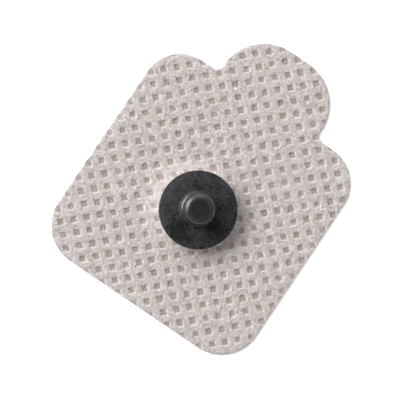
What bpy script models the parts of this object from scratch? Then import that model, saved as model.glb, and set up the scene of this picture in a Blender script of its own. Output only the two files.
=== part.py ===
"""Electrode pad with a press stud.

A die-cut non-woven cloth backing (a rounded square with a pull tab) lies flat and is draped over
a disc of hydrogel. A sensor eyelet sits in the gel, and its post goes up through the cloth's
centre hole into the bore of a moulded stud, whose flange covers the hole from above.

Frame: origin on the stud's axis in the skin plane (the gel's and the backing's underside),
+Z up through the stud, +Y towards the pull tab, +X across the pad. Metres.
"""

import math

import bmesh
import bpy

MM = 0.001

# ---- driving dimensions ------------------------------------------------------------------
GAP = 0.3 * MM  # clearance kept between two neighbouring pieces

# backing outline
BODY_HALF_WIDTH = 15.0 * MM
BODY_BOTTOM_Y = -14.2 * MM
SHOULDER_Y = 16.1 * MM
TAB_TOP_Y = 23.4 * MM
TAB_HALF_WIDTH = 7.45 * MM
BOTTOM_CORNER_R = 5.35 * MM
SHOULDER_CORNER_R = 5.0 * MM
TAB_CORNER_R = 6.1 * MM
NOTCH_FILLET_R = 0.9 * MM

# backing section
CLOTH_THICKNESS = 0.4 * MM
DRAPE_HEIGHT = 1.2 * MM  # the cloth's underside over the eyelet
DRAPE_TOP_R = 4.6 * MM  # the drape is level out to here
DRAPE_FOOT_R = 7.9 * MM  # and lies on the skin plane from here on
DRAPE_POWER = 2.5  # it falls steeply beside the flange and eases out towards its foot

# stud
FLANGE_R = 4.95 * MM
FLANGE_THICKNESS = 0.6 * MM
FLANGE_EDGE_R = 0.14 * MM
STUD_HEIGHT = 2.2 * MM  # above the flange's top
STUD_HEAD_R = 1.95 * MM  # the bulge that a 3.9 mm snap socket grips
STUD_HEAD_Z = 1.45 * MM  # height of the widest point above the flange's top
STUD_NECK_R = 1.72 * MM
STUD_NECK_Z = 0.82 * MM
COLLAR_R = 2.18 * MM  # the low rounded collar round the stud's foot
COLLAR_HEIGHT = 0.62 * MM
COLLAR_EDGE_R = 0.3 * MM
STUD_TOP_R = 1.15 * MM

# eyelet
POST_R = 0.95 * MM
EYELET_R = 3.6 * MM
EYELET_THICKNESS = 0.3 * MM

# gel
GEL_R = 5.6 * MM

# tessellation
TURN_STEPS = 60
CORNER_STEPS = 9  # segments in a quarter circle of the outline

# ---- heights that follow from them -------------------------------------------------------
POST_BORE_R = POST_R + GAP
CLOTH_TOP_Z = DRAPE_HEIGHT + CLOTH_THICKNESS
FLANGE_BOTTOM_Z = CLOTH_TOP_Z + GAP
FLANGE_TOP_Z = FLANGE_BOTTOM_Z + FLANGE_THICKNESS
STUD_TOP_Z = FLANGE_TOP_Z + STUD_HEIGHT
BORE_END_Z = STUD_TOP_Z - 0.6 * MM
EYELET_TOP_Z = DRAPE_HEIGHT - GAP
EYELET_BOTTOM_Z = EYELET_TOP_Z - EYELET_THICKNESS
POCKET_FLOOR_Z = EYELET_BOTTOM_Z - GAP


# ---- helpers -----------------------------------------------------------------------------
def clear_scene():
    for obj in list(bpy.data.objects):
        bpy.data.objects.remove(obj, do_unlink=True)


def new_collection(name):
    coll = bpy.data.collections.new(name)
    bpy.context.scene.collection.children.link(coll)
    return coll


def make_material(name, colour, roughness, metallic=0.0):
    mat = bpy.data.materials.new(name)
    mat.use_nodes = True
    shader = mat.node_tree.nodes["Principled BSDF"]
    shader.inputs["Base Color"].default_value = (*colour, 1.0)
    shader.inputs["Roughness"].default_value = roughness
    shader.inputs["Metallic"].default_value = metallic
    mat.diffuse_color = (*colour, 1.0)
    return mat


def arc(cx, cy, radius, start, end, steps):
    """Points on an arc about (cx, cy) from start to end, in degrees."""
    points = []
    for i in range(steps + 1):
        a = math.radians(start + (end - start) * i / steps)
        points.append((cx + radius * math.cos(a), cy + radius * math.sin(a)))
    return points


def blend(a, b, t):
    """Smooth step from a to b as t goes from 0 to 1."""
    t = min(1.0, max(0.0, t))
    return a + (b - a) * t * t * (3.0 - 2.0 * t)


def drape(r):
    """Height of the cloth's underside at a distance r from the stud's axis."""
    t = (r - DRAPE_TOP_R) / (DRAPE_FOOT_R - DRAPE_TOP_R)
    return DRAPE_HEIGHT * (1.0 - min(1.0, max(0.0, t))) ** DRAPE_POWER


def turned(name, profile, coll, mat, closed=False):
    """A solid of revolution about Z. The profile is (radius, height) pairs that run from the
    top down the outer side, then in along the underside."""
    mesh = bpy.data.meshes.new(name)
    bm = bmesh.new()
    verts = [bm.verts.new((r, 0.0, z)) for r, z in profile]
    for a, b in zip(verts, verts[1:]):
        bm.edges.new((a, b))
    if closed:
        bm.edges.new((verts[-1], verts[0]))
    bm.to_mesh(mesh)
    bm.free()
    obj = bpy.data.objects.new(name, mesh)
    coll.objects.link(obj)
    screw = obj.modifiers.new("Turn", "SCREW")
    screw.axis = "Z"
    screw.angle = math.tau
    screw.steps = TURN_STEPS
    screw.render_steps = TURN_STEPS
    screw.use_merge_vertices = True
    screw.merge_threshold = 0.000001
    screw.use_smooth_shade = True
    obj.data.materials.append(mat)
    return obj


def backing_outline():
    """The die-cut outline, anticlockwise from the bottom left corner."""
    half = []
    # right half, from the bottom edge up to the middle of the tab's top
    half += arc(
        BODY_HALF_WIDTH - BOTTOM_CORNER_R,
        BODY_BOTTOM_Y + BOTTOM_CORNER_R,
        BOTTOM_CORNER_R, -90.0, 0.0, CORNER_STEPS,
    )
    half += arc(
        BODY_HALF_WIDTH - SHOULDER_CORNER_R,
        SHOULDER_Y - SHOULDER_CORNER_R,
        SHOULDER_CORNER_R, 0.0, 90.0, CORNER_STEPS,
    )
    # the notch between shoulder and tab is an inside fillet
    half += arc(
        TAB_HALF_WIDTH + NOTCH_FILLET_R,
        SHOULDER_Y + NOTCH_FILLET_R,
        NOTCH_FILLET_R, 270.0, 180.0, 4,
    )
    half += arc(
        TAB_HALF_WIDTH - TAB_CORNER_R,
        TAB_TOP_Y - TAB_CORNER_R,
        TAB_CORNER_R, 0.0, 90.0, CORNER_STEPS,
    )
    other = [(-x, y) for x, y in reversed(half)]
    return half + other


def die_cutter(name, outline, height, coll):
    """A prism of the outline, from a filled 2D curve made into a welded mesh."""
    curve = bpy.data.curves.new(name, "CURVE")
    curve.dimensions = "2D"
    curve.fill_mode = "BOTH"
    curve.extrude = height / 2.0
    curve.render_resolution_u = 0
    spline = curve.splines.new("POLY")
    spline.points.add(len(outline) - 1)
    for point, (x, y) in zip(spline.points, outline):
        point.co = (x, y, 0.0, 1.0)
    spline.use_cyclic_u = True
    guide = bpy.data.objects.new(name + "_curve", curve)
    coll.objects.link(guide)
    bpy.context.view_layer.update()
    evaluated = guide.evaluated_get(bpy.context.evaluated_depsgraph_get())
    mesh = bpy.data.meshes.new_from_object(evaluated)
    mesh.name = name
    bm = bmesh.new()
    bm.from_mesh(mesh)
    bmesh.ops.remove_doubles(bm, verts=bm.verts, dist=0.000001)
    bmesh.ops.recalc_face_normals(bm, faces=bm.faces)
    bm.to_mesh(mesh)
    bm.free()
    obj = bpy.data.objects.new(name, mesh)
    obj.matrix_world = guide.matrix_world
    bpy.data.objects.remove(guide, do_unlink=True)
    coll.objects.link(obj)
    obj.hide_render = True
    obj.display_type = "WIRE"
    return obj


# ---- the four pieces ---------------------------------------------------------------------
def make_backing(coll, cutters, mat):
    """The cloth: a draped turned sheet, cut to the outline, with a hole for the post."""
    reach = 1.2 * math.hypot(BODY_HALF_WIDTH, TAB_TOP_Y)
    radii = [POST_BORE_R, DRAPE_TOP_R]
    rings = 9
    for i in range(1, rings + 1):
        radii.append(DRAPE_TOP_R + (DRAPE_FOOT_R - DRAPE_TOP_R) * i / rings)
    radii.append(reach)
    top = [(r, drape(r) + CLOTH_THICKNESS) for r in radii]
    under = [(r, drape(r)) for r in reversed(radii)]
    sheet = turned("cloth_backing", top + under, coll, mat, closed=True)
    cutter = die_cutter("die", backing_outline(), 20.0 * MM, cutters)
    cut = sheet.modifiers.new("DieCut", "BOOLEAN")
    cut.operation = "INTERSECT"
    cut.solver = "EXACT"
    cut.object = cutter
    return sheet


def make_stud(coll, mat):
    """The stud: flange, collar, neck, head with a flat top, and a blind bore from below."""
    z0 = FLANGE_TOP_Z
    profile = [(0.0, STUD_TOP_Z), (STUD_TOP_R, STUD_TOP_Z)]
    # shoulder: a quarter ellipse from the flat top out to the widest point
    steps = 7
    for i in range(1, steps + 1):
        a = math.radians(90.0 * i / steps)
        profile.append((
            STUD_TOP_R + (STUD_HEAD_R - STUD_TOP_R) * math.sin(a),
            z0 + STUD_HEAD_Z + (STUD_HEIGHT - STUD_HEAD_Z) * math.cos(a),
        ))
    # in under the head to the neck
    steps = 4
    for i in range(1, steps + 1):
        t = i / steps
        profile.append((
            blend(STUD_HEAD_R, STUD_NECK_R, t),
            z0 + STUD_HEAD_Z + (STUD_NECK_Z - STUD_HEAD_Z) * t,
        ))
    # out over the collar's rounded edge, and down its side to the flange
    profile.append((STUD_NECK_R + 0.04 * MM, z0 + COLLAR_HEIGHT + 0.06 * MM))
    steps = 4
    for i in range(steps + 1):
        a = math.radians(90.0 * i / steps)
        profile.append((
            COLLAR_R - COLLAR_EDGE_R * (1.0 - math.sin(a)),
            z0 + COLLAR_HEIGHT - COLLAR_EDGE_R * (1.0 - math.cos(a)),
        ))
    profile += [(COLLAR_R, z0 + 0.07 * MM), (COLLAR_R + 0.07 * MM, z0)]
    # flange with rounded edges
    steps = 3
    for i in range(steps + 1):
        a = math.radians(90.0 * i / steps)
        profile.append((
            FLANGE_R - FLANGE_EDGE_R * (1.0 - math.sin(a)),
            z0 - FLANGE_EDGE_R * (1.0 - math.cos(a)),
        ))
    for i in range(steps + 1):
        a = math.radians(90.0 * i / steps)
        profile.append((
            FLANGE_R - FLANGE_EDGE_R * (1.0 - math.cos(a)),
            FLANGE_BOTTOM_Z + FLANGE_EDGE_R * (1.0 - math.sin(a)),
        ))
    # bore for the eyelet's post
    profile += [
        (POST_BORE_R + 0.1 * MM, FLANGE_BOTTOM_Z),
        (POST_BORE_R, FLANGE_BOTTOM_Z + 0.1 * MM),
        (POST_BORE_R, BORE_END_Z - 0.2 * MM),
        (POST_BORE_R - 0.2 * MM, BORE_END_Z),
        (0.0, BORE_END_Z),
    ]
    return turned("snap_stud", profile, coll, mat)


def make_eyelet(coll, mat):
    """The sensor eyelet: a thin flange under the cloth and a post up into the stud."""
    top = BORE_END_Z - GAP - 0.05 * MM
    edge = 0.08 * MM
    profile = [
        (0.0, top),
        (POST_R - 0.18 * MM, top),
        (POST_R, top - 0.25 * MM),
        (POST_R, EYELET_TOP_Z + 0.1 * MM),
        (POST_R + 0.1 * MM, EYELET_TOP_Z),
        (EYELET_R - edge, EYELET_TOP_Z),
        (EYELET_R, EYELET_TOP_Z - edge),
        (EYELET_R, EYELET_BOTTOM_Z + edge),
        (EYELET_R - edge, EYELET_BOTTOM_Z),
        (0.0, EYELET_BOTTOM_Z),
    ]
    return turned("sensor_eyelet", profile, coll, mat)


def make_gel(coll, mat):
    """The hydrogel: flat below, a pocket for the eyelet above, and a rim that thins outwards
    under the drape of the cloth."""
    pocket_r = EYELET_R + GAP
    profile = [
        (0.0, POCKET_FLOOR_Z),
        (pocket_r, POCKET_FLOOR_Z),
        (pocket_r, DRAPE_HEIGHT - GAP),
        (DRAPE_TOP_R, DRAPE_HEIGHT - GAP),
    ]
    steps = 5
    for i in range(1, steps + 1):
        r = DRAPE_TOP_R + (GEL_R - DRAPE_TOP_R) * i / steps
        profile.append((r, drape(r) - GAP))
    profile += [(GEL_R, 0.1 * MM), (GEL_R - 0.1 * MM, 0.0), (0.0, 0.0)]
    return turned("hydrogel_disc", profile, coll, mat)


def main():
    clear_scene()
    coll = new_collection("electrode_pad")
    cutters = new_collection("cutters")
    cloth = make_material("nonwoven_cloth", (0.60, 0.54, 0.52), 0.9)
    carbon = make_material("carbon_plastic", (0.035, 0.037, 0.040), 0.5)
    silver = make_material("silver_chloride_coat", (0.46, 0.45, 0.43), 0.45, 0.6)
    gel = make_material("hydrogel", (0.72, 0.80, 0.82), 0.12)
    make_backing(coll, cutters, cloth)
    make_stud(coll, carbon)
    make_eyelet(coll, silver)
    make_gel(coll, gel)


main()
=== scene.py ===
import math

import bpy
import numpy as np
from mathutils import Matrix, Vector
from mathutils.geometry import delaunay_2d_cdt


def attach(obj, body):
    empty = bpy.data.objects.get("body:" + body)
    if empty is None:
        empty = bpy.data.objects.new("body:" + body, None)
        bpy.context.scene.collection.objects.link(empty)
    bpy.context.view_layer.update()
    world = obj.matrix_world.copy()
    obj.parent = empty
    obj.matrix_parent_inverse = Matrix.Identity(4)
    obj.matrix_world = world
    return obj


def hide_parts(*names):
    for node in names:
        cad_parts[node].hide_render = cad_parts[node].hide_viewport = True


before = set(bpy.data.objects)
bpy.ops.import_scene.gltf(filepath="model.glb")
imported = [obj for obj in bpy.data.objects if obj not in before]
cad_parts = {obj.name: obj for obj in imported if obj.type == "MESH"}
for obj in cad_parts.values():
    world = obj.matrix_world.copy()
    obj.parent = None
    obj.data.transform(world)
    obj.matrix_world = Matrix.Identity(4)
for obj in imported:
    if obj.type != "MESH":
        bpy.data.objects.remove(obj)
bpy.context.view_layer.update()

MM = 0.001

# ------------------------------------------------------------------------------------------
# sizes in millimetres, as in part.py but for the collar's radius and the radius of the head's flat
# ------------------------------------------------------------------------------------------
BODY_HALF_WIDTH, BODY_BOTTOM_Y, SHOULDER_Y = 15.0, -14.2, 16.1
TAB_TOP_Y, TAB_HALF_WIDTH = 23.4, 7.45
BOTTOM_CORNER_R, SHOULDER_CORNER_R, TAB_CORNER_R, NOTCH_FILLET_R = 5.35, 5.0, 6.1, 0.9
CLOTH = 0.4
DRAPE_HEIGHT, DRAPE_TOP_R, DRAPE_FOOT_R, DRAPE_POWER = 1.2, 4.6, 7.9, 2.5
HOLE_R = 1.25
FLANGE_R, FLANGE_BOTTOM, FLANGE_TOP, STUD_TOP = 4.95, 1.9, 2.5, 4.7
HEAD_R, HEAD_Z, NECK_R, NECK_Z = 1.95, 3.95, 1.72, 3.32
COLLAR_R, COLLAR_TOP, COLLAR_SHIFT = 2.20, 3.14, (-0.120, 0.025)
HEAD_FLAT_R = 1.26
EYELET_R, EYELET_BOTTOM, EYELET_TOP = 3.6, 0.6, 0.9
GEL_R = 5.6

# the embossed lattice, in the pad's plane
PIT_ORIGIN = np.array([-3.612, -10.691])
PIT_A = np.array([1.2133, 1.1739])
PIT_B = np.array([1.2156, -1.1461])
PITCH_A, PITCH_B = float(np.linalg.norm(PIT_A)), float(np.linalg.norm(PIT_B))
TO_CELLS = np.linalg.inv(np.stack([PIT_A, PIT_B], 1))
PIT_HALF = 0.308  # half the width of a pit's floor
PIT_WALL = 0.175  # how far its wall leans out
PIT_DEPTH = 0.105

rng = np.random.default_rng(20)

# ------------------------------------------------------------------------------------------
# camera: looks down on the pad from a little to the lower left, tab to the upper right
# ------------------------------------------------------------------------------------------
TILT = math.radians(6.0)
TILT_TOWARDS = Vector((-0.42, -0.907, 0.0)).normalized()
ROLL = math.radians(34.0)
DISTANCE = 360.0
AIM = Vector((-0.432, 1.317, 0.4))
LENS = 258.1


def make_camera():
    data = bpy.data.cameras.new("camera")
    data.lens = LENS
    data.clip_start, data.clip_end = 0.01, 20.0
    cam = bpy.data.objects.new("camera", data)
    bpy.context.scene.collection.objects.link(cam)
    back = (TILT_TOWARDS * math.sin(TILT) + Vector((0, 0, math.cos(TILT)))).normalized()
    up = Vector((-math.sin(ROLL), math.cos(ROLL), 0.0))
    x = up.cross(back).normalized()
    y = back.cross(x)
    m = Matrix((x, y, back)).transposed().to_4x4()
    m.translation = (AIM + back * DISTANCE) * MM
    cam.matrix_world = m
    bpy.context.scene.camera = cam
    return x, y, back


IMAGE_RIGHT, IMAGE_UP, IMAGE_BACK = make_camera()


# ------------------------------------------------------------------------------------------
# small helpers
# ------------------------------------------------------------------------------------------
def arc(cx, cy, radius, start, end, steps):
    a = np.radians(np.linspace(start, end, steps + 1))
    return np.stack([cx + radius * np.cos(a), cy + radius * np.sin(a)], 1)


def outline(step):
    """The die-cut outline, anticlockwise, with a point about every step millimetres."""
    k = 40
    half = np.concatenate([
        arc(BODY_HALF_WIDTH - BOTTOM_CORNER_R, BODY_BOTTOM_Y + BOTTOM_CORNER_R, BOTTOM_CORNER_R, -90, 0, k),
        arc(BODY_HALF_WIDTH - SHOULDER_CORNER_R, SHOULDER_Y - SHOULDER_CORNER_R, SHOULDER_CORNER_R, 0, 90, k),
        arc(TAB_HALF_WIDTH + NOTCH_FILLET_R, SHOULDER_Y + NOTCH_FILLET_R, NOTCH_FILLET_R, 270, 180, 12),
        arc(TAB_HALF_WIDTH - TAB_CORNER_R, TAB_TOP_Y - TAB_CORNER_R, TAB_CORNER_R, 0, 90, k),
    ])
    whole = np.concatenate([half, half[::-1] * [-1, 1]])
    closed = np.concatenate([whole, whole[:1]])
    seg = np.linalg.norm(np.diff(closed, axis=0), axis=1)
    keep = np.r_[True, seg > 1e-6]
    closed = closed[keep]
    s = np.r_[0, np.cumsum(np.linalg.norm(np.diff(closed, axis=0), axis=1))]
    n = int(round(s[-1] / step))
    t = np.linspace(0, s[-1], n, endpoint=False)
    return np.stack([np.interp(t, s, closed[:, 0]), np.interp(t, s, closed[:, 1])], 1)


def loop_normals(p):
    """Outward normals of an anticlockwise loop."""
    d = np.roll(p, -1, 0) - np.roll(p, 1, 0)
    d /= np.linalg.norm(d, axis=1)[:, None]
    return np.stack([d[:, 1], -d[:, 0]], 1)


def rounded_box(x, y, cx, cy, hw, hh, r):
    dx, dy = np.abs(x - cx) - (hw - r), np.abs(y - cy) - (hh - r)
    return np.hypot(np.maximum(dx, 0), np.maximum(dy, 0)) + np.minimum(np.maximum(dx, dy), 0) - r


def pad_distance(x, y):
    """Signed distance to the outline, negative inside."""
    cy, hh = (BODY_BOTTOM_Y + SHOULDER_Y) / 2, (SHOULDER_Y - BODY_BOTTOM_Y) / 2
    r = np.where(y > cy, SHOULDER_CORNER_R, BOTTOM_CORNER_R)
    body = rounded_box(x, y, 0, cy, BODY_HALF_WIDTH, hh, r)
    tab = rounded_box(x, y, 0, TAB_TOP_Y / 2, TAB_HALF_WIDTH, TAB_TOP_Y / 2, TAB_CORNER_R)
    k = NOTCH_FILLET_R
    a, b = np.maximum(k - body, 0), np.maximum(k - tab, 0)
    return np.maximum(k, np.minimum(body, tab)) - np.hypot(a, b)


def smooth(t):
    t = np.clip(t, 0, 1)
    return t * t * (3 - 2 * t)


def value_noise(x, y, scale, seed):
    """Smooth value noise of about unit range, period-free over the pad."""
    r = np.random.default_rng(seed)
    n = 256
    table = r.uniform(-1, 1, (n, n))
    gx, gy = x / scale + 64.3, y / scale + 71.7
    ix, iy = np.floor(gx).astype(int), np.floor(gy).astype(int)
    fx, fy = smooth(gx - ix), smooth(gy - iy)
    ix, iy, jx, jy = ix % n, iy % n, (ix + 1) % n, (iy + 1) % n
    return (
        table[ix, iy] * (1 - fx) * (1 - fy) + table[jx, iy] * fx * (1 - fy)
        + table[ix, jy] * (1 - fx) * fy + table[jx, jy] * fx * fy
    )


def new_object(name, verts, faces, materials, material_index=None, smooth_shade=True):
    mesh = bpy.data.meshes.new(name)
    mesh.from_pydata((np.asarray(verts, float) * MM).tolist(), [], faces)
    mesh.update()
    for m in materials:
        mesh.materials.append(m)
    if material_index is not None:
        mesh.polygons.foreach_set("material_index", np.asarray(material_index, np.int32))
    if smooth_shade:
        mesh.shade_smooth()
    obj = bpy.data.objects.new(name, mesh)
    bpy.context.scene.collection.objects.link(obj)
    return obj


# ------------------------------------------------------------------------------------------
# material nodes
# ------------------------------------------------------------------------------------------
class Nodes:
    """A small builder for node trees."""

    def __init__(self, name):
        self.mat = bpy.data.materials.new(name)
        self.mat.use_nodes = True
        self.tree = self.mat.node_tree
        self.shader = self.tree.nodes["Principled BSDF"]

    def new(self, kind, **sets):
        n = self.tree.nodes.new(kind)
        for k, v in sets.items():
            setattr(n, k, v)
        return n

    def link(self, a, b):
        self.tree.links.new(a, b)

    def put(self, socket, value):
        if isinstance(value, bpy.types.NodeSocket):
            self.link(value, socket)
        else:
            socket.default_value = value

    def math(self, op, a, b=None, c=None, clamp=False):
        n = self.new("ShaderNodeMath", operation=op, use_clamp=clamp)
        self.put(n.inputs[0], a)
        if b is not None:
            self.put(n.inputs[1], b)
        if c is not None:
            self.put(n.inputs[2], c)
        return n.outputs[0]

    def vec(self, op, a, b=None):
        n = self.new("ShaderNodeVectorMath", operation=op)
        self.put(n.inputs[0], a)
        if b is not None:
            self.put(n.inputs[1], b)
        return n

    def millimetres(self):
        """Object coordinates in millimetres."""
        co = self.new("ShaderNodeTexCoord")
        n = self.new("ShaderNodeVectorMath", operation="SCALE")
        self.link(co.outputs["Object"], n.inputs[0])
        n.inputs["Scale"].default_value = 1000.0
        return n.outputs[0]

    def noise(self, vector, scale, detail=2.0, rough=0.5, distortion=0.0, stretch=None, turn=0.0):
        if stretch is not None or turn:
            m = self.new("ShaderNodeMapping")
            self.link(vector, m.inputs["Vector"])
            m.inputs["Rotation"].default_value = (0, 0, turn)
            m.inputs["Scale"].default_value = stretch or (1, 1, 1)
            vector = m.outputs[0]
        n = self.new("ShaderNodeTexNoise")
        self.link(vector, n.inputs["Vector"])
        n.inputs["Scale"].default_value = scale
        n.inputs["Detail"].default_value = detail
        n.inputs["Roughness"].default_value = rough
        n.inputs["Distortion"].default_value = distortion
        return n.outputs["Fac"]

    def ramp(self, value, low, high, out_low=0.0, out_high=1.0, kind="SMOOTHSTEP"):
        n = self.new("ShaderNodeMapRange", interpolation_type=kind)
        self.put(n.inputs["Value"], value)
        n.inputs["From Min"].default_value = low
        n.inputs["From Max"].default_value = high
        n.inputs["To Min"].default_value = out_low
        n.inputs["To Max"].default_value = out_high
        return n.outputs[0]

    def mix(self, factor, a, b, kind="MIX"):
        n = self.new("ShaderNodeMix", data_type="RGBA", blend_type=kind)
        self.put(n.inputs["Factor"], factor)
        self.put(n.inputs[6], a)
        self.put(n.inputs[7], b)
        return n.outputs[2]

    def bump(self, height, strength, distance, below=None):
        n = self.new("ShaderNodeBump")
        self.link(height, n.inputs["Height"])
        n.inputs["Strength"].default_value = strength
        n.inputs["Distance"].default_value = distance * MM
        if below is not None:
            self.link(below, n.inputs["Normal"])
        return n.outputs[0]


def cloth_material():
    """Embossed non-woven: off-white matted fibres, with the pits pressed to a thin brownish film."""
    n = Nodes("nonwoven_cloth")
    mm = n.millimetres()
    pit = n.new("ShaderNodeAttribute", attribute_name="pit").outputs["Fac"]
    loft_and_painted_shade = n.new("ShaderNodeAttribute", attribute_name="loft_and_painted_shade").outputs["Fac"]
    # matted fibres: thin streaks in several directions
    streaks = None
    for turn, scale in ((0.35, 3.4), (1.30, 3.9), (2.25, 3.1), (2.85, 4.3)):
        one = n.noise(mm, scale, 2.0, 0.55, 0.3, (1.0, 6.0, 1.0), turn)
        one = n.ramp(one, 0.47, 0.64)
        streaks = one if streaks is None else n.math("MAXIMUM", streaks, one)
    clumps = n.noise(mm, 0.55, 3.0, 0.6)
    patch = n.noise(mm, 0.09, 2.0, 0.5)
    grain = n.noise(mm, 11.0, 2.0, 0.7)
    wall = n.new("ShaderNodeAttribute", attribute_name="wall").outputs["Fac"]
    # lighter where the mat is higher, and darker in a ring at the flange's edge: painted shade
    high = n.ramp(loft_and_painted_shade, -1.6, 1.8, 0.0, 1.0, "LINEAR")
    cool = n.noise(mm, 1.3, 2.0, 0.5, 0.0, (1.0, 1.0, 1.0), 0.7)
    land = n.mix(high, (0.475, 0.402, 0.386, 1.0), (0.840, 0.775, 0.763, 1.0))
    land = n.mix(n.math("MULTIPLY", streaks, 0.46), land, (0.91, 0.870, 0.862, 1.0))
    land = n.mix(n.math("MULTIPLY", n.ramp(grain, 0.58, 0.42), 0.50), land, (0.41, 0.366, 0.354, 1.0))
    land = n.mix(n.math("MULTIPLY", n.ramp(cool, 0.47, 0.66), 0.28), land, (0.61, 0.61, 0.64, 1.0))
    land = n.mix(n.math("MULTIPLY", n.ramp(clumps, 0.42, 0.66), 0.30), land, (0.67, 0.560, 0.520, 1.0))
    land = n.mix(n.math("MULTIPLY", n.ramp(patch, 0.35, 0.65), 0.25), land, (0.66, 0.595, 0.56, 1.0))
    # painted highlight: the pits' walls are whitened all round, so those facing the lamp read brighter
    land = n.mix(n.math("MULTIPLY", wall, 0.36), land, (0.97, 0.950, 0.945, 1.0))
    film = n.mix(n.ramp(n.noise(mm, 5.5, 3.0, 0.6), 0.30, 0.70), (0.266, 0.199, 0.169, 1.0), (0.425, 0.342, 0.303, 1.0))
    colour = n.mix(pit, land, film)
    n.link(colour, n.shader.inputs["Base Color"])
    n.link(n.ramp(pit, 0.0, 1.0, 0.92, 0.60, "LINEAR"), n.shader.inputs["Roughness"])
    n.shader.inputs["Specular IOR Level"].default_value = 0.25
    n.shader.inputs["Sheen Weight"].default_value = 0.12
    n.shader.inputs["Sheen Roughness"].default_value = 0.5
    fuzz = n.math("MULTIPLY", n.math("ADD", streaks, grain), n.ramp(pit, 0.0, 1.0, 1.0, 0.3, "LINEAR"))
    n.link(n.bump(fuzz, 0.8, 0.06), n.shader.inputs["Normal"])
    return n.mat


def fibre_material():
    """The mat's own fibres: translucent off-white, some a little greyer or pinker than others."""
    n = Nodes("cloth_fibre")
    mm = n.millimetres()
    shade = n.new("ShaderNodeAttribute", attribute_name="shade").outputs["Fac"]
    patch = n.noise(mm, 0.09, 2.0, 0.5)
    colour = n.mix(shade, (0.37, 0.330, 0.320, 1.0), (1.0, 0.952, 0.940, 1.0))
    colour = n.mix(n.math("MULTIPLY", n.ramp(patch, 0.35, 0.65), 0.20), colour, (0.72, 0.65, 0.62, 1.0))
    cool = n.noise(mm, 1.3, 2.0, 0.5, 0.0, (1.0, 1.0, 1.0), 0.7)
    colour = n.mix(n.math("MULTIPLY", n.ramp(cool, 0.45, 0.66), 0.30), colour, (0.72, 0.73, 0.77, 1.0))
    clumps = n.noise(mm, 0.55, 3.0, 0.6)
    colour = n.mix(n.math("MULTIPLY", n.ramp(clumps, 0.42, 0.66), 0.25), colour, (0.75, 0.635, 0.59, 1.0))
    n.link(colour, n.shader.inputs["Base Color"])
    n.shader.inputs["Roughness"].default_value = 0.75
    n.shader.inputs["Specular IOR Level"].default_value = 0.35
    n.link(n.bump(n.noise(mm, 14.0, 1.0), 0.2, 0.02), n.shader.inputs["Normal"])
    return n.mat


def adhesive_material():
    """Pressure-sensitive adhesive on the cloth's underside: clear, faintly yellow, softly glossy."""
    n = Nodes("adhesive_coat")
    mm = n.millimetres()
    haze = n.noise(mm, 0.8, 4.0, 0.6)
    fine = n.noise(mm, 5.0, 2.0, 0.6)
    # where the pits' film comes through
    away = []
    for row, pitch in zip(TO_CELLS, (PITCH_A, PITCH_B)):
        along = n.vec("DOT_PRODUCT", n.vec("SUBTRACT", mm, (*PIT_ORIGIN, 0.0)).outputs[0], (*row, 0.0)).outputs["Value"]
        cell = n.math("SUBTRACT", n.math("FRACT", n.math("ADD", along, 0.5)), 0.5)
        away.append(n.math("MULTIPLY", n.math("ABSOLUTE", cell), pitch))
    pit = n.ramp(n.math("MAXIMUM", *away), PIT_HALF - 0.02, PIT_HALF + 0.12, 1.0, 0.0)
    colour = n.mix(haze, (0.60, 0.53, 0.48, 1.0), (0.70, 0.64, 0.59, 1.0))
    colour = n.mix(n.math("MULTIPLY", fine, 0.3), colour, (0.74, 0.70, 0.66, 1.0))
    streaks = None
    for turn, scale in ((0.5, 2.4), (1.6, 2.9), (2.6, 2.2)):
        one = n.ramp(n.noise(mm, scale, 2.0, 0.55, 0.3, (1.0, 6.0, 1.0), turn), 0.50, 0.66)
        streaks = one if streaks is None else n.math("MAXIMUM", streaks, one)
    colour = n.mix(n.math("MULTIPLY", streaks, 0.35), colour, (0.82, 0.78, 0.75, 1.0))
    colour = n.mix(n.math("MULTIPLY", pit, 0.55), colour, (0.40, 0.33, 0.29, 1.0))
    n.link(colour, n.shader.inputs["Base Color"])
    n.link(n.ramp(haze, 0.3, 0.7, 0.22, 0.42), n.shader.inputs["Roughness"])
    relief = n.math("ADD", n.math("ADD", haze, n.math("MULTIPLY", fine, 0.5)), n.math("MULTIPLY", pit, 0.8))
    n.link(n.bump(relief, 0.5, 0.05), n.shader.inputs["Normal"])
    return n.mat


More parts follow.
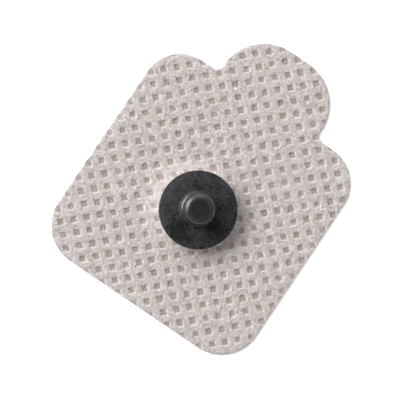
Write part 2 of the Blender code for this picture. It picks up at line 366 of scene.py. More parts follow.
def carbon_material():
    """Carbon-filled moulded plastic: charcoal, satin, mottled and grained by the filler. The head's
    top face is smoother, where the mould's pin was."""
    n = Nodes("carbon_plastic")
    mm = n.millimetres()
    cloud = n.noise(mm, 0.9, 3.0, 0.6, 0.6)
    grain = n.noise(mm, 4.6, 3.0, 0.75, 0.4)
    fine = n.noise(mm, 7.0, 2.0, 0.8, 0.0, (1.0, 1.0, 1.0), 0.6)
    mott = n.math("ADD", n.math("MULTIPLY", cloud, 0.35), n.math("MULTIPLY", grain, 0.65))
    colour = n.mix(n.ramp(mott, 0.42, 0.60), (0.0008, 0.0010, 0.0022, 1.0), (0.0225, 0.0225, 0.0260, 1.0))
    colour = n.mix(n.math("MULTIPLY", n.ramp(fine, 0.53, 0.66), 0.66), colour, (0.060, 0.060, 0.066, 1.0))
    parts = n.new("ShaderNodeSeparateXYZ")
    n.link(mm, parts.inputs[0])
    flat = n.new("ShaderNodeCombineXYZ")
    n.link(parts.outputs[0], flat.inputs[0])
    n.link(parts.outputs[1], flat.inputs[1])
    away = n.vec("LENGTH", flat.outputs[0]).outputs["Value"]
    top = n.math("MULTIPLY", n.ramp(away, 1.0, 1.25, 1.0, 0.0), n.ramp(parts.outputs[2], 4.4, 4.6))
    colour = n.mix(n.math("MULTIPLY", top, 0.55), colour, (0.013, 0.013, 0.014, 1.0))
    raised = n.ramp(parts.outputs[2], 2.55, 2.75)
    # a lighter band on the head's shoulder and side, fainter on its top: painted reflection
    ring = n.math("MULTIPLY", n.ramp(parts.outputs[2], 3.2, 3.6), n.ramp(away, 1.12, 1.32, 0.15, 0.70))
    colour = n.mix(ring, colour, (0.032, 0.032, 0.034, 1.0))
    # darker, smoother patches on the flange: the one at -x, +y is the moulding's own mottle, where the filler has
    # gathered; the two at -y and +x, on the side away from the lamps, are painted shade
    mottle_and_painted_shade = None
    for cx, cy, width, length, amount in ((-0.73, -3.42, 1.7, 1.3, 0.85), (3.55, -0.85, 1.5, 1.3, 0.80), (-1.60, 2.42, 1.0, 0.65, 0.90)):
        across = n.math("DIVIDE", n.math("SUBTRACT", parts.outputs[0], cx), width)
        along = n.math("DIVIDE", n.math("SUBTRACT", parts.outputs[1], cy), length)
        far = n.math("ADD", n.math("MULTIPLY", across, across), n.math("MULTIPLY", along, along))
        far = n.math("ADD", far, n.math("MULTIPLY", n.math("SUBTRACT", grain, 0.5), 3.0))
        one = n.ramp(far, 0.0, 1.6, amount, 0.0)
        mottle_and_painted_shade = one if mottle_and_painted_shade is None else n.math("MAXIMUM", mottle_and_painted_shade, one)
    mottle_and_painted_shade = n.math("MULTIPLY", mottle_and_painted_shade, n.math("SUBTRACT", 1.0, raised))
    colour = n.mix(mottle_and_painted_shade, colour, (0.003, 0.003, 0.004, 1.0))
    # a small moulding mark on the flange
    across = n.math("DIVIDE", n.math("ADD", parts.outputs[0], 0.09), 0.24)
    along = n.math("DIVIDE", n.math("SUBTRACT", parts.outputs[1], 3.2), 0.18)
    mark = n.math("ADD", n.math("MULTIPLY", across, across), n.math("MULTIPLY", along, along))
    colour = n.mix(n.ramp(mark, 0.5, 1.5, 0.8, 0.0), colour, (0.002, 0.002, 0.002, 1.0))
    n.link(colour, n.shader.inputs["Base Color"])
    rough = n.ramp(mott, 0.38, 0.60, 0.28, 0.44)
    rough = n.math("ADD", rough, n.ramp(fine, 0.38, 0.62, -0.06, 0.06))
    rough = n.math("SUBTRACT", rough, n.math("MULTIPLY", mottle_and_painted_shade, 0.10))
    # the head and collar are rubbed smoother than the flange
    rough = n.math("ADD", n.math("MULTIPLY", rough, n.math("SUBTRACT", 1.0, raised)),
                   n.math("MULTIPLY", n.ramp(mott, 0.38, 0.60, 0.17, 0.25), raised))
    n.link(rough, n.shader.inputs["Roughness"])
    n.shader.inputs["Specular IOR Level"].default_value = 0.50
    relief = n.math("MULTIPLY", n.math("ADD", grain, fine), n.ramp(raised, 0.0, 1.0, 1.0, 0.3, "LINEAR"))
    n.link(n.bump(relief, 0.6, 0.05), n.shader.inputs["Normal"])
    return n.mat


def silver_material():
    """Silver coat turned to grey chloride."""
    n = Nodes("silver_chloride_coat")
    mm = n.millimetres()
    cloud = n.noise(mm, 1.4, 5.0, 0.6)
    colour = n.mix(cloud, (0.36, 0.345, 0.325, 1.0), (0.60, 0.59, 0.57, 1.0))
    n.link(colour, n.shader.inputs["Base Color"])
    n.shader.inputs["Metallic"].default_value = 0.7
    n.link(n.ramp(cloud, 0.3, 0.7, 0.35, 0.55), n.shader.inputs["Roughness"])
    n.link(n.bump(n.noise(mm, 8.0, 3.0, 0.6), 0.3, 0.02), n.shader.inputs["Normal"])
    return n.mat


def gel_material():
    """Solid hydrogel: clear, slightly blue, with a wet gloss."""
    n = Nodes("hydrogel")
    mm = n.millimetres()
    cloud = n.noise(mm, 0.7, 3.0, 0.5)
    colour = n.mix(cloud, (0.80, 0.88, 0.90, 1.0), (0.90, 0.95, 0.96, 1.0))
    n.link(colour, n.shader.inputs["Base Color"])
    n.shader.inputs["Roughness"].default_value = 0.12
    n.shader.inputs["IOR"].default_value = 1.36
    n.shader.inputs["Transmission Weight"].default_value = 0.8
    n.link(n.bump(cloud, 0.15, 0.05), n.shader.inputs["Normal"])
    return n.mat


def floor_material():
    n = Nodes("floor")
    n.shader.inputs["Base Color"].default_value = (0.93, 0.93, 0.93, 1.0)
    n.shader.inputs["Roughness"].default_value = 0.8
    n.shader.inputs["Specular IOR Level"].default_value = 0.1
    # a light table: it keeps the shadow under the pad's edge pale
    n.shader.inputs["Emission Color"].default_value = (1.0, 1.0, 1.0, 1.0)
    n.shader.inputs["Emission Strength"].default_value = 0.35
    return n.mat


# ------------------------------------------------------------------------------------------
# the cloth
# ------------------------------------------------------------------------------------------
def drape(x, y):
    """Height of the cloth's underside. It is pulled up against the stud's flange and lies flat beyond."""
    r = np.hypot(x, y)
    t = np.clip((r - DRAPE_TOP_R) / (DRAPE_FOOT_R - DRAPE_TOP_R), 0, 1)
    hidden = FLANGE_BOTTOM - 0.03 - CLOTH - DRAPE_HEIGHT
    return DRAPE_HEIGHT * (1 - t) ** DRAPE_POWER + hidden * (1 - smooth((r - 3.6) / (FLANGE_R - 3.6)))


def wander(x, y):
    """The embossed pattern is not quite regular, because the cloth has been pulled a little."""
    return 0.05 * value_noise(x, y, 3.0, 5), 0.05 * value_noise(x, y, 3.0, 6)


def lattice(x, y):
    """For each point, its place in its cell along both lattice directions in millimetres, and the cell."""
    wx, wy = wander(x, y)
    px, py = x - PIT_ORIGIN[0] - wx, y - PIT_ORIGIN[1] - wy
    u, v = TO_CELLS[0, 0] * px + TO_CELLS[0, 1] * py, TO_CELLS[1, 0] * px + TO_CELLS[1, 1] * py
    cu, cv = np.round(u), np.round(v)
    return (u - cu) * PITCH_A, (v - cv) * PITCH_B, cu.astype(int), cv.astype(int)


FIBRE_STEP = 0.04
FIELD_X0, FIELD_Y0 = -17.0, -16.5
FIELD_NX, FIELD_NY = int(34 / FIBRE_STEP), int(42 / FIBRE_STEP)


def strokes(count, shortest, longest, seed, bend=0.35):
    """Centre lines of fibres laid in all directions: arrays of x and y in millimetres, one row a fibre."""
    r = np.random.default_rng(seed)
    x0, y0 = r.uniform(-16.5, 16.5, count), r.uniform(-16, 25, count)
    angle, turn = r.uniform(0, math.tau, count), r.normal(0, bend, count)
    wave, phase = r.normal(0, 0.25, count), r.uniform(0, math.tau, count)
    length = r.uniform(shortest, longest, count)
    steps = int(longest / 0.04)
    t = np.linspace(0, 1, steps)
    a = angle[:, None] + turn[:, None] * t + wave[:, None] * np.sin(phase[:, None] + math.tau * t)
    d = (length / steps)[:, None]
    return x0[:, None] + np.cumsum(np.cos(a) * d, 1), y0[:, None] + np.cumsum(np.sin(a) * d, 1), t, length


def soften(f, passes):
    for _ in range(passes):
        f = (np.roll(f, 1, 0) + 2 * f + np.roll(f, -1, 0)) / 4
        f = (np.roll(f, 1, 1) + 2 * f + np.roll(f, -1, 1)) / 4
    return f


def fibre_field(count, shortest, longest, width_passes, seed):
    """Height map of a mat of fibres, with a mean of 0 and a spread of 1."""
    px, py, t, length = strokes(count, shortest, longest, seed)
    r = np.random.default_rng(seed + 1)
    w = (r.uniform(0.35, 1.0, count) ** 2)[:, None] * (1 - (2 * t - 1) ** 4)[None, :] * (length / len(t))[:, None]
    gx, gy = (px - FIELD_X0) / FIBRE_STEP, (py - FIELD_Y0) / FIBRE_STEP
    ok = (gx > 1) & (gx < FIELD_NX - 2) & (gy > 1) & (gy < FIELD_NY - 2)
    gx, gy, w = gx[ok], gy[ok], w[ok]
    ix, iy = gx.astype(int), gy.astype(int)
    fx, fy = gx - ix, gy - iy
    flat = np.zeros(FIELD_NX * FIELD_NY)
    for ox, oy, ww in ((0, 0, (1 - fx) * (1 - fy)), (1, 0, fx * (1 - fy)), (0, 1, (1 - fx) * fy), (1, 1, fx * fy)):
        flat += np.bincount((ix + ox) * FIELD_NY + iy + oy, w * ww, FIELD_NX * FIELD_NY)
    field = flat.reshape(FIELD_NX, FIELD_NY)
    out = soften(field, width_passes) - soften(field, 40 + width_passes)
    return out / out.std()


def sample(field, x, y):
    gx, gy = (x - FIELD_X0) / FIBRE_STEP, (y - FIELD_Y0) / FIBRE_STEP
    gx, gy = np.clip(gx, 0, FIELD_NX - 2.001), np.clip(gy, 0, FIELD_NY - 2.001)
    ix, iy = gx.astype(int), gy.astype(int)
    fx, fy = gx - ix, gy - iy
    return (
        field[ix, iy] * (1 - fx) * (1 - fy) + field[ix + 1, iy] * fx * (1 - fy)
        + field[ix, iy + 1] * (1 - fx) * fy + field[ix + 1, iy + 1] * fx * fy
    )


FIBRES = fibre_field(26000, 0.5, 2.0, 2, 7)
CELLS = 64
cell_rng = np.random.default_rng(31)
CELL_DEPTH = cell_rng.uniform(0.72, 1.15, (CELLS, CELLS))
CELL_SIZE = cell_rng.normal(0, 0.018, (CELLS, CELLS)).clip(-0.05, 0.04)
CELL_SHIFT = cell_rng.normal(0, 0.022, (2, CELLS, CELLS)).clip(-0.05, 0.05)
CELL_PRESS = cell_rng.uniform(0.84, 1.0, (CELLS, CELLS))


def pit_shape(x, y):
    """How far each point is from the edge of its pit's floor (negative inside), and its cell."""
    du, dv, cu, cv = lattice(x, y)
    cu, cv = cu % CELLS, cv % CELLS
    du, dv = du - CELL_SHIFT[0][cu, cv], dv - CELL_SHIFT[1][cu, cv]
    half = PIT_HALF + CELL_SIZE[cu, cv]
    r = 0.04
    qx, qy = np.abs(du) - (half - r), np.abs(dv) - (half - r)
    away = np.hypot(np.maximum(qx, 0), np.maximum(qy, 0)) + np.minimum(np.maximum(qx, qy), 0) - r
    ragged = 0.015 * value_noise(x, y, 0.25, 41) + 0.010 * sample(FIBRES, x, y).clip(-2, 2)
    return away + ragged, cu, cv


def cloth_surface(x, y):
    """Height of the cloth's upper surface, the depth of the pit there from 0 to 1, and the fibres' loft, with a painted
    shade where the cloth meets the flange.
    """
    away, cu, cv = pit_shape(x, y)
    wall = smooth(away / PIT_WALL)
    r = np.hypot(x, y)
    inside = -pad_distance(x, y)
    side = smooth((x + 15.0) / 30.0)  # the die has squeezed and fluffed the cut edge, more on the -X side
    soft = 0.56 - 0.26 * side
    full = 1 - soft + soft * smooth((inside - 0.05) / (0.95 - 0.45 * side))
    depth = PIT_DEPTH * CELL_DEPTH[cu, cv] * (0.5 + 0.5 * smooth((r - 5.2) / 2.0)) * full
    lip = 0.012 * np.exp(-((away - PIT_WALL - 0.03) / 0.11) ** 2)
    pillow = 0.062 * np.exp(-np.maximum(away, 0) / 0.36)
    dip = 0.044 * np.exp(-((r - 5.1) / 0.7) ** 2)  # drawn down where the flange presses
    loft_and_painted_shade = sample(FIBRES, x, y)
    rough = 0.0165 * loft_and_painted_shade * (0.2 + 0.8 * wall)
    waves = 0.03 * value_noise(x, y, 5.0, 11) + 0.02 * value_noise(x, y, 1.9, 12)
    roll = 0.10 * (1 - smooth(inside / 0.35)) ** 2
    z = drape(x, y) + CLOTH - depth * (1 - wall) + lip - pillow - dip + rough + waves * smooth(inside / 2) - roll
    pit = (1 - smooth((away + 0.035) / 0.155)) * CELL_PRESS[cu, cv] * full
    # the mat is thicker and whiter where the lands between the pits cross; in a ring at the flange's edge it is painted
    # darker, a painted shade where the flange shades the cloth
    loft_and_painted_shade = loft_and_painted_shade + 0.5 * smooth((away - 0.40) / 0.34) - 0.2 - 0.8 * np.exp(-((r - 5.0) / 0.45) ** 2)
    # the pits' sloping walls are coloured whiter, a painted highlight so that the walls facing the lamp read brighter
    wall = np.exp(-((away - 0.13) / 0.07) ** 2)
    return z, pit, loft_and_painted_shade, wall


def under_height(x, y):
    """Height of the cloth's adhesive side."""
    return drape(x, y)


def make_cloth(materials):
    # a fine net along the lattice's directions, closest at the pits' walls
    half_a = np.array([0.17, 0.30, 0.35, 0.40, 0.47, 0.58, 0.70, PITCH_A / 2]) / PITCH_A
    half_b = np.array([0.17, 0.30, 0.35, 0.40, 0.47, 0.58, 0.70, PITCH_B / 2]) / PITCH_B
    one_a = np.concatenate([-half_a[-2::-1], [0.0], half_a])
    one_b = np.concatenate([-half_b[-2::-1], [0.0], half_b])
    corners = (np.array([[-16, -16], [16, -16], [16, 25], [-16, 25]]) - PIT_ORIGIN) @ TO_CELLS.T
    lo, hi = np.floor(corners.min(0)).astype(int), np.ceil(corners.max(0)).astype(int)
    lines_a = (np.arange(lo[0], hi[0] + 1)[:, None] + one_a[None, :]).ravel()
    lines_b = (np.arange(lo[1], hi[1] + 1)[:, None] + one_b[None, :]).ravel()
    gu, gv = np.meshgrid(lines_a, lines_b, indexing="ij")
    gx = PIT_ORIGIN[0] + gu * PIT_A[0] + gv * PIT_B[0]
    gy = PIT_ORIGIN[1] + gu * PIT_A[1] + gv * PIT_B[1]
    wx, wy = wander(gx, gy)
    gx, gy = gx + wx, gy + wy
    inside = (pad_distance(gx, gy) < -0.22) & (np.hypot(gx, gy) > 4.3)
    quad = inside[:-1, :-1] & inside[1:, :-1] & inside[1:, 1:] & inside[:-1, 1:]
    index = -np.ones(gx.shape, int)
    used = np.zeros(gx.shape, bool)
    for a, b in ((0, 0), (1, 0), (1, 1), (0, 1)):
        used[a:a + quad.shape[0], b:b + quad.shape[1]] |= quad
    index[used] = np.arange(used.sum())
    xs, ys = gx[used], gy[used]
    qi, qj = np.nonzero(quad)
    # the lattice's second direction turns clockwise from the first, so this order faces up
    quads = np.stack([index[qi, qj], index[qi, qj + 1], index[qi + 1, qj + 1], index[qi + 1, qj]], 1)

    # boundary edges of the kept grid
    def boundary(faces):
        e = np.concatenate([faces[:, [k, (k + 1) % faces.shape[1]]] for k in range(faces.shape[1])])
        key = np.sort(e, 1)
        _, first, count = np.unique(key, axis=0, return_index=True, return_counts=True)
        return e[first[count == 1]]

    edges = boundary(quads)
    outer = outline(0.118)
    normals = loop_normals(outer)
    edge_rng = np.random.default_rng(44)

    def frayed(amount):
        # a cut edge is never quite straight; neighbouring points share their wobble
        w = edge_rng.normal(0, amount, len(outer))
        return (np.roll(w, 1) + 2 * w + np.roll(w, -1)) / 3

    inset = outer - normals * (0.10 + frayed(0.006))[:, None]
    hole_rings = [np.stack([r * np.cos(t), r * np.sin(t)], 1)
                  for r, t in ((4.0, np.linspace(0, math.tau, 96, endpoint=False)),
                               (3.0, np.linspace(0, math.tau, 48, endpoint=False)),
                               (HOLE_R, np.linspace(0, math.tau, 48, endpoint=False)))]
    verts2 = [Vector((x, y)) for x, y in zip(xs[np.unique(edges)], ys[np.unique(edges)])]
    remap = {int(g): k for k, g in enumerate(np.unique(edges))}
    cons = [(remap[int(a)], remap[int(b)]) for a, b in edges]
    n_grid_edge = len(verts2)
    base = len(verts2)
    verts2 += [Vector(p) for p in inset]
    cons += [(base + k, base + (k + 1) % len(inset)) for k in range(len(inset))]
    rings_at = []
    for ring in hole_rings:
        rings_at.append(len(verts2))
        b = len(verts2)
        verts2 += [Vector(p) for p in ring]
        cons += [(b + k, b + (k + 1) % len(ring)) for k in range(len(ring))]
    out_v, _, out_f, orig_v, _, _ = delaunay_2d_cdt(verts2, cons, [], 1, 1e-6, True)
    out = np.array([[p.x, p.y] for p in out_v])
    # keep the faces in the band between grid and outline, and between grid and hole
    tri = np.array([f for f in out_f if len(f) == 3])
    c = out[tri].mean(1)
    in_quad = inside_net(c, np.stack([xs, ys], 1), edges)
    keep = ~in_quad & point_in_loop(c, inset) & (np.hypot(c[:, 0], c[:, 1]) > HOLE_R * 0.995)
    tri = tri[keep]
    # global numbering: grid vertices first, then new ones
    grid_ids = np.unique(edges)
    number = -np.ones(len(out), int)
    extra_xy = []
    for k, origins in enumerate(orig_v):
        o = origins[0] if origins else -1
        if 0 <= o < n_grid_edge:
            number[k] = grid_ids[o]
    for k in range(len(out)):
        if number[k] < 0:
            number[k] = len(xs) + len(extra_xy)
            extra_xy.append(out[k])
    extra_xy = np.array(extra_xy)
    tri = number[tri]
    allx, ally = np.r_[xs, extra_xy[:, 0]], np.r_[ys, extra_xy[:, 1]]
    area = (
        (allx[tri[:, 1]] - allx[tri[:, 0]]) * (ally[tri[:, 2]] - ally[tri[:, 0]])
        - (allx[tri[:, 2]] - allx[tri[:, 0]]) * (ally[tri[:, 1]] - ally[tri[:, 0]])
    )
    tri[area < 0] = tri[area < 0][:, ::-1]
    tri = tri[np.abs(area) > 1e-7]

    z, pit, loft_and_painted_shade, wall = cloth_surface(allx, ally)
    under_flange = np.hypot(allx, ally) < 4.7
    z = np.where(under_flange, np.minimum(z, FLANGE_BOTTOM - 0.03), z)
    verts = np.stack([allx, ally, z], 1)
    inverse = {int(o): k for k, origins in enumerate(orig_v) for o in origins}
    inset_ids = np.array([number[inverse[base + k]] for k in range(len(inset))])
    hole_ids = np.array([number[inverse[rings_at[-1] + k]] for k in range(len(hole_rings[-1]))])

    faces = [tuple(q) for q in quads.tolist()] + [tuple(t) for t in tri.tolist()]
    index_of = [0] * len(faces)

    # the die-cut edge: rolls over, hangs down and ends in the adhesive's plane
    profile = [(0.035, 0.10), (0.0, 0.19), (0.005, 0.29), (0.0, CLOTH - 0.075), (0.012, CLOTH)]
    prev = inset_ids
    loops = []
    for k, (inw, down) in enumerate(profile):
        p = outer + normals * (frayed(0.010) - 0.02 - inw)[:, None]
        zz = np.full(len(outer), CLOTH - down)
        if k < len(profile) - 1:
            zz = zz + edge_rng.normal(0, 0.008, len(outer))
        ids = np.arange(len(verts), len(verts) + len(outer))
        verts = np.concatenate([verts, np.stack([p[:, 0], p[:, 1], zz], 1)])
        for m in range(len(outer)):
            q = (m + 1) % len(outer)
            faces.append((int(prev[m]), int(ids[m]), int(ids[q]), int(prev[q])))
            index_of.append(0 if k < len(profile) - 1 else 1)
        prev = ids
        loops.append(ids)
    rim_ids = prev
    rim_xy = verts[rim_ids][:, :2]

    # the underside: a coarser net between the rim and the hole
    gap = 0.62
    ux, uy = np.meshgrid(np.arange(-16, 16, gap), np.arange(-16, 25, gap), indexing="ij")
    ux = ux + rng.uniform(-0.05, 0.05, ux.shape)
    uy = uy + rng.uniform(-0.05, 0.05, uy.shape)
    m = (pad_distance(ux, uy) < -0.5) & (np.hypot(ux, uy) > 8.1)
    points = [Vector(p) for p in np.stack([ux[m], uy[m]], 1)]
    for r in np.linspace(4.0, 7.9, 12):
        t = np.linspace(0, math.tau, 72, endpoint=False)
        points += [Vector((r * math.cos(a), r * math.sin(a))) for a in t]
    cons = []
    b1 = len(points)
    points += [Vector(p) for p in rim_xy]
    cons += [(b1 + k, b1 + (k + 1) % len(rim_xy)) for k in range(len(rim_xy))]
    b2 = len(points)
    hole = hole_rings[-1]
    points += [Vector(p) for p in hole]
    cons += [(b2 + k, b2 + (k + 1) % len(hole)) for k in range(len(hole))]
    ov, _, of_, oo, _, _ = delaunay_2d_cdt(points, cons, [], 1, 1e-6, True)
    o2 = np.array([[p.x, p.y] for p in ov])
    t2 = np.array([f for f in of_ if len(f) == 3])
    c = o2[t2].mean(1)
    # inside the rim and outside the hole
    import_path = rim_xy
    inside_rim = point_in_loop(c, import_path)
    t2 = t2[inside_rim & (np.hypot(c[:, 0], c[:, 1]) > HOLE_R * 0.995)]
    num = -np.ones(len(o2), int)
    for k, origins in enumerate(oo):
        for o in origins:
            if b1 <= o < b1 + len(rim_xy):
                num[k] = rim_ids[o - b1]
            elif o >= b2:
                num[k] = -2 - (o - b2)
    hole_low = np.arange(len(verts), len(verts) + len(hole))
    verts = np.concatenate([verts, np.stack([hole[:, 0], hole[:, 1], under_height(hole[:, 0], hole[:, 1])], 1)])
    for k in range(len(num)):
        if num[k] <= -2:
            num[k] = hole_low[-2 - num[k]]
    new = np.nonzero(num == -1)[0]
    num[new] = len(verts) + np.arange(len(new))
    verts = np.concatenate([verts, np.stack([o2[new, 0], o2[new, 1], under_height(o2[new, 0], o2[new, 1])], 1)])
    area = (
        (o2[t2[:, 1], 0] - o2[t2[:, 0], 0]) * (o2[t2[:, 2], 1] - o2[t2[:, 0], 1])
        - (o2[t2[:, 2], 0] - o2[t2[:, 0], 0]) * (o2[t2[:, 1], 1] - o2[t2[:, 0], 1])
    )
    t2[area > 0] = t2[area > 0][:, ::-1]
    t2 = num[t2]
    faces += [tuple(t) for t in t2.tolist()]
    index_of += [1] * len(t2)
    # the hole's wall
    h = len(hole)
    for k in range(h):
        q = (k + 1) % h
        faces.append((int(hole_ids[k]), int(hole_ids[q]), int(hole_low[q]), int(hole_low[k])))
        index_of.append(0)
    faces = [tuple(int(i) for i in f) for f in faces]
    obj = new_object("cloth", verts, faces, materials, index_of)
    # how deep in a pit and how high in the mat each point is, the latter with a painted shade at the flange's edge, for
    # the material
    for label, values, rest in (("pit", pit, 0.0), ("loft_and_painted_shade", loft_and_painted_shade, 0.0), ("wall", wall, 0.0)):
        layer = obj.data.attributes.new(label, "FLOAT", "POINT")
        full = np.full(len(verts), rest, np.float32)
        full[:len(values)] = values
        layer.data.foreach_set("value", full)
    return obj


def inside_net(points, at, edges):
    """Whether each point lies inside the net whose boundary edges are given, by the even-odd rule."""
    a, b = at[edges[:, 0]], at[edges[:, 1]]
    inside = np.zeros(len(points), bool)
    for k in range(0, len(points), 2000):
        x, y = points[k:k + 2000, 0][:, None], points[k:k + 2000, 1][:, None]
        with np.errstate(divide="ignore", invalid="ignore"):
            cross = (b[:, 0] - a[:, 0]) * (y - a[:, 1]) / (b[:, 1] - a[:, 1]) + a[:, 0]
        hit = ((a[:, 1] > y) != (b[:, 1] > y)) & (x < cross)
        inside[k:k + 2000] = hit.sum(1) % 2 == 1
    return inside


def make_fibres(name, count, shortest, longest, thin, thick, seed, material):
    """Loose fibres of the mat, each a thin closed three-sided thread that lies on the cloth and is
    pressed down where it crosses a pit."""
    r = np.random.default_rng(seed)
    k = 6
    t = np.linspace(0, 1, k)
    n = int(count * 2.4)
    x0, y0 = r.uniform(-15.2, 15.2, n), r.uniform(-14.5, 23.6, n)
    angle, turn = r.uniform(0, math.tau, n), r.normal(0, 0.5, n)
    length = r.uniform(shortest, longest, n)
    a = angle[:, None] + turn[:, None] * (t - 0.5) * 2
    x = x0[:, None] + np.cumsum(np.cos(a), 1) * (length / k)[:, None]
    y = y0[:, None] + np.cumsum(np.sin(a), 1) * (length / k)[:, None]
    z, pit, _, _ = cloth_surface(x.ravel(), y.ravel())
    z, pit = z.reshape(x.shape), pit.reshape(x.shape)
    keep = (pad_distance(x, y) < 0.03).all(1) & (np.hypot(x, y) > FLANGE_R - 0.3).all(1) & (pit.mean(1) < 0.34)
    x, y, z, pit = [q[keep][:count] for q in (x, y, z, pit)]
    n = len(x)
    fibre = r.uniform(thin, thick, n)
    lift = r.uniform(0.0, 0.022, n)[:, None] * np.sin(math.pi * t)[None, :] * (1 - pit) + r.uniform(-0.004, 0.010, n)[:, None]
    p = np.stack([x, y, z + lift], 2)
    along = np.gradient(p, axis=1)
    along /= np.linalg.norm(along, axis=2)[:, :, None]
    side = np.cross(along, (0.0, 0.0, 1.0))
    side /= np.linalg.norm(side, axis=2)[:, :, None]
    up = np.cross(side, along)
    taper = np.array([0.45, 0.85, 1.0, 1.0, 0.85, 0.45])
    size = fibre[:, None] * taper[None, :]
    rings = []
    for q in (math.pi / 2, math.pi / 2 + math.tau / 3, math.pi / 2 - math.tau / 3):
        rings.append(p + (math.cos(q) * side + math.sin(q) * up) * size[:, :, None])
    verts = np.stack(rings, 2).reshape(-1, 3)
    base = (np.arange(n) * k * 3)[:, None]
    quads = []
    for i in range(k - 1):
        for j in range(3):
            m = (j + 1) % 3
            quads.append(base + np.array([i * 3 + j, (i + 1) * 3 + j, (i + 1) * 3 + m, i * 3 + m]))
    quads = np.concatenate(quads)
    caps = np.concatenate([base + np.array([0, 1, 2]), base + np.array([(k - 1) * 3 + 2, (k - 1) * 3 + 1, (k - 1) * 3])])
    faces = quads.tolist() + caps.tolist()
    obj = new_object(name, verts, faces, [material])
    shade = obj.data.attributes.new("shade", "FLOAT", "POINT")
    # neighbouring fibres are alike, because they lie in the same bunches
    bunch = 0.5 + 0.45 * value_noise(x[:, 2], y[:, 2], 0.20, 91) + r.uniform(-0.42, 0.42, n)
    shade.data.foreach_set("value", np.repeat(bunch.clip(0, 1), k * 3).astype(np.float32))
    return obj


def point_in_loop(points, loop):
    """Whether each point lies inside a closed loop, by the even-odd rule."""
    x, y = points[:, 0], points[:, 1]
    inside = np.zeros(len(points), bool)
    a, b = loop, np.roll(loop, -1, 0)
    for (x0, y0), (x1, y1) in zip(a, b):
        if y0 == y1:
            continue
        crosses = ((y0 > y) != (y1 > y)) & (x < (x1 - x0) * (y - y0) / (y1 - y0) + x0)
        inside ^= crosses
    return inside


# ------------------------------------------------------------------------------------------
# the turned pieces
# ------------------------------------------------------------------------------------------
def turned(name, profile, segments, material, shape=None):
    """A solid of revolution. The profile runs from the top centre down the outer side and back
    to the axis below. shape may move the points."""
    verts, rows = [], []
    t = np.linspace(0, math.tau, segments, endpoint=False)
    for r, z in profile:
        if r < 1e-9:
            rows.append([len(verts)])
            verts.append((0.0, 0.0, z))
        else:
            rows.append(list(range(len(verts), len(verts) + segments)))
            verts += [(r * math.cos(a), r * math.sin(a), z) for a in t]
    faces = []
    for up, low in zip(rows, rows[1:]):
        for k in range(segments):
            q = (k + 1) % segments
            if len(up) == 1 and len(low) > 1:
                faces.append((up[0], low[k], low[q]))
            elif len(low) == 1 and len(up) > 1:
                faces.append((up[k], low[0], up[q]))
            elif len(up) > 1:
                faces.append((up[k], low[k], low[q], up[q]))
    v = np.array(verts)
    if shape is not None:
        v = shape(v)
    return new_object(name, v, faces, [material])


def curve_points(points, step):
    """The profile with points at most step apart, so that a relief can be laid on it."""
    out = [points[0]]
    for a, b in zip(points, points[1:]):
        d = math.hypot(b[0] - a[0], b[1] - a[1])
        n = max(1, int(math.ceil(d / step)))
        for k in range(1, n + 1):
            out.append((a[0] + (b[0] - a[0]) * k / n, a[1] + (b[1] - a[1]) * k / n))
    return out


def quarter(cx, cz, rx, rz, start, end, steps):
    return [(cx + rx * math.cos(math.radians(start + (end - start) * i / steps)),
             cz + rz * math.sin(math.radians(start + (end - start) * i / steps))) for i in range(steps + 1)]


def fine_curve(points, top, parts):
    """A smooth curve through (radius, drop below top) points, each span cut into parts."""
    q = np.array(points)
    t = np.r_[0, np.cumsum(np.hypot(*np.diff(q, axis=0).T))]
    out = []
    for i in range(len(q) - 1):
        a, b, c, d = q[max(i - 1, 0)], q[i], q[i + 1], q[min(i + 2, len(q) - 1)]
        ta, tb, tc, td = t[max(i - 1, 0)], t[i], t[i + 1], t[min(i + 2, len(q) - 1)]
        mb, mc = (c - a) / (tc - ta), (d - b) / (td - tb)
        for k in range(parts):
            u, h = k / parts, tc - tb
            v = ((2 * u ** 3 - 3 * u ** 2 + 1) * b + (u ** 3 - 2 * u ** 2 + u) * h * mb
                 + (-2 * u ** 3 + 3 * u ** 2) * c + (u ** 3 - u ** 2) * h * mc)
            out.append((float(v[0]), top - float(v[1])))
    out.append((float(q[-1][0]), top - float(q[-1][1])))
    return out


